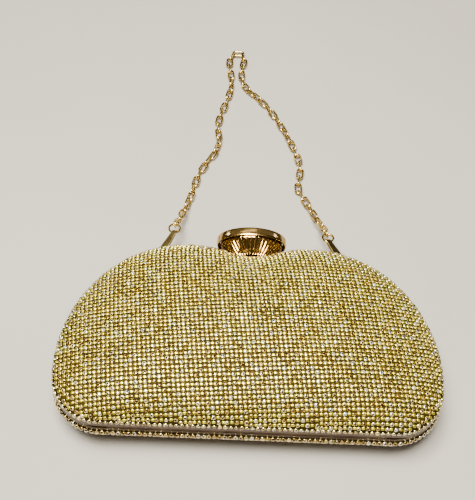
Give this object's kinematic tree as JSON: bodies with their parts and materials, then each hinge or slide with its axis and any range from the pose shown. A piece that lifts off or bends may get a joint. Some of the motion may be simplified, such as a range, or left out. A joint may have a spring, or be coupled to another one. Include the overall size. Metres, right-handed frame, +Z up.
{
  "type": "minaudiere",
  "caption": "Hard evening clutch with two domed shells under crystal mesh, slim metal frames, an oval knob clasp on the top edge and a short chain handle, lying on its back.",
  "frame": {"origin": "middle of the flat crown of the rear shell, which the bag rests on", "axes": "+X across the width, +Y from the hinge edge to the clasp edge, +Z up from the rear shell to the front shell"},
  "size_m": [0.209, 0.3009, 0.0495],
  "materials": {
    "crystal_mesh": "gold-toned aluminium mesh set with clear and honey glass stones",
    "shell": "plain pressed sheet, covered on both sides",
    "frame": "satin rose gold",
    "gold": "polished yellow gold plating",
    "steel": "plain",
    "lining": "smooth satin cloth"
  },
  "bodies": {
    "rear_half": {"rear_crystal_mesh": "crystal_mesh", "rear_shell": "shell", "rear_frame": "frame", "rear_lining": "lining", "rear_hinge_knuckles": "frame", "hinge_pin": "steel", "lug_left": "gold", "lug_right": "gold", "clasp_bracket": "steel", "clasp_bracket_rivets": "gold", "clasp_pin": "steel", "clasp_spring": "steel"},
    "front_half": {"front_crystal_mesh": "crystal_mesh", "front_shell": "shell", "front_frame": "frame", "front_lining": "lining", "front_hinge_knuckles": "frame", "catch_plate": "steel", "catch_plate_rivets": "gold"},
    "clasp": {"knob_rim": "gold", "knob_cone": "gold", "knob_cap": "gold", "knob_stem": "gold", "latch_lever": "steel"},
    "handle": {"bail_left": "gold", "bail_right": "gold", "bail_pins": "gold", "jump_ring_left": "gold", "jump_ring_right": "gold", "chain_links_left": "gold", "chain_top_link": "gold", "chain_links_right": "gold"}
  },
  "joints": [
    {"name": "lid_hinge", "type": "hinge", "parent": "rear_half", "child": "front_half", "pos_m": [0, -0.05387, 0.025], "axis": [1, 0, 0], "range_deg": [0, 85]},
    {"name": "clasp_tilt", "type": "hinge", "parent": "rear_half", "child": "clasp", "pos_m": [0, 0.0422, 0.019], "axis": [-1, 0, 0], "range_deg": [0, 12], "stiffness_Nm_per_rad": 0.4, "springref_deg": -5.73, "deforming": ["clasp_spring"]},
    {"name": "handle_swing", "type": "hinge", "parent": "rear_half", "child": "handle", "pos_m": [0, 0.05542, 0.0225], "axis": [1, 0, 0], "range_deg": [0, 90]}
  ]
}
